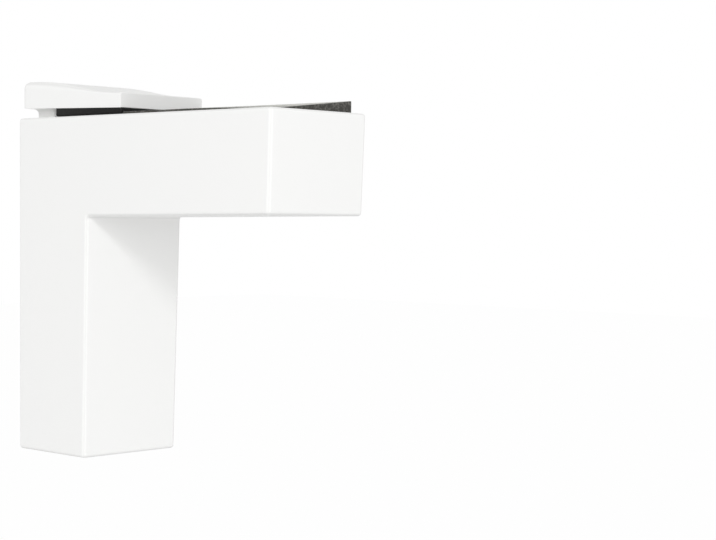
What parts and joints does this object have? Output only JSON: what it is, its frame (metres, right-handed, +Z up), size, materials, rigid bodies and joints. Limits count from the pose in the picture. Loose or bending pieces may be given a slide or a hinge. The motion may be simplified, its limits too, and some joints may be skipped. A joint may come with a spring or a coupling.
{
  "type": "clamp shelf bracket",
  "caption": "Wall bracket for a shelf: hollow L-shaped casting with a screw-driven clamp jaw over the arm and rubber pads, hung on a steel wall plate.",
  "frame": {"origin": "on the wall plane, midway between the two wall holes of the plate", "axes": "+X away from the wall along the arm, +Y along the wall, +Z up"},
  "size_m": [0.1252, 0.0432, 0.1289],
  "materials": {
    "white_paint": "satin white powder coat on a zinc casting",
    "black_rubber": "matt, finely textured",
    "plated_steel": "zinc plated"
  },
  "bodies": {
    "casting": {"bracket_body": "white_paint", "arm_pad": "black_rubber", "wall_plate": "plated_steel", "lock_screws": "plated_steel"},
    "jaw": {"clamp_jaw": "white_paint", "jaw_pad": "black_rubber"},
    "screw": {"clamp_screw": "plated_steel", "retaining_ring": "plated_steel"}
  },
  "joints": [
    {"name": "screw_spin", "type": "hinge", "parent": "casting", "child": "screw", "pos_m": [0.0079, 0, 0], "axis": [0, 0, -1], "range_deg": [0, 10800]},
    {"name": "jaw_slide", "type": "slide", "parent": "casting", "child": "jaw", "axis": [0, 0, 1], "range_m": [0, 0.03]}
  ],
  "couplings": [
    {"joint": "screw_spin", "follows": "jaw_slide", "rad_per_m": 6283.2}
  ]
}
